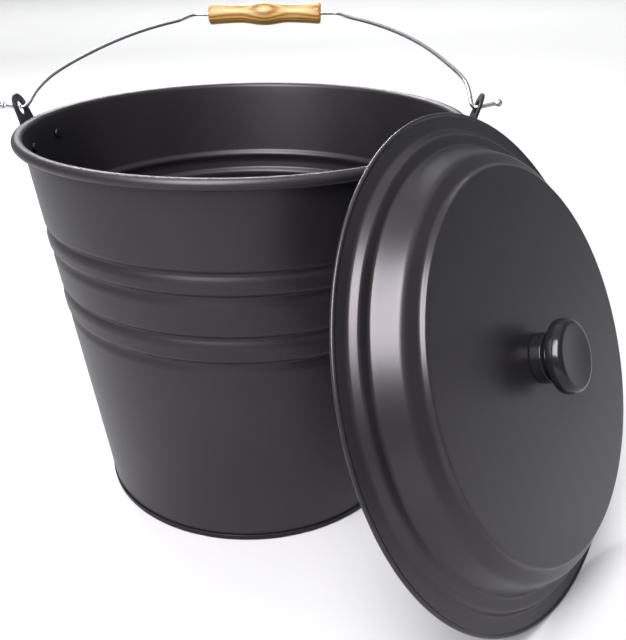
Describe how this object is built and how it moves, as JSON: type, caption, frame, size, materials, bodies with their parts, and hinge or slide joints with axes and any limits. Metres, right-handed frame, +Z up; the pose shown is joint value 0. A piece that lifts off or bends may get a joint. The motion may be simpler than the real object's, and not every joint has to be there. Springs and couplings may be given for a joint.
{
  "type": "ash bucket",
  "caption": "Tapered black steel ash bucket with ribbed bands, rolled rim, wire bail with turned wooden grip, and a stepped lid with a round knob leaning on the rim.",
  "frame": {"origin": "centre of the flat underside of the bucket's bottom pan, on the surface the bucket stands on", "axes": "+Z up along the bucket's axis; X through the two ears, along the bail's pivot axis; -Y towards the side the lid leans on"},
  "size_m": [0.4718, 0.4249, 0.3575],
  "materials": {
    "black_steel": "satin black powder coat",
    "bright_steel": "bright plated",
    "zinc_steel": "zinc plated",
    "brass": "turned",
    "golden_wood": "clear varnish",
    "black_resin": "gloss"
  },
  "bodies": {
    "bucket": {"bucket_wall": "black_steel", "base_panel": "black_steel", "rim_wire": "zinc_steel", "ear_left": "black_steel", "ear_right": "black_steel", "ear_rivet_left_front": "black_steel", "ear_rivet_left_back": "black_steel", "ear_rivet_right_front": "black_steel", "ear_rivet_right_back": "black_steel"},
    "bail": {"bail_wire": "bright_steel"},
    "grip": {"bail_grip": "golden_wood"},
    "lid": {"lid_shell": "black_steel", "lid_knob": "black_resin", "knob_insert": "brass", "knob_screw": "zinc_steel", "knob_washer": "zinc_steel"}
  },
  "joints": [
    {"name": "bail_swing", "type": "hinge", "parent": "bucket", "child": "bail", "pos_m": [0, 0.0019, 0.2936], "axis": [1, 0, 0], "range_deg": [-19, 157]},
    {"name": "grip_spin", "type": "hinge", "parent": "bail", "child": "grip", "pos_m": [0, 0.14826, 0.34759], "axis": [1, 0, 0], "continuous": true},
    {"name": "lid_away", "type": "slide", "parent": "bucket", "child": "lid", "axis": [0.8339, -0.5519, 0], "range_m": [0, 0.3]}
  ]
}
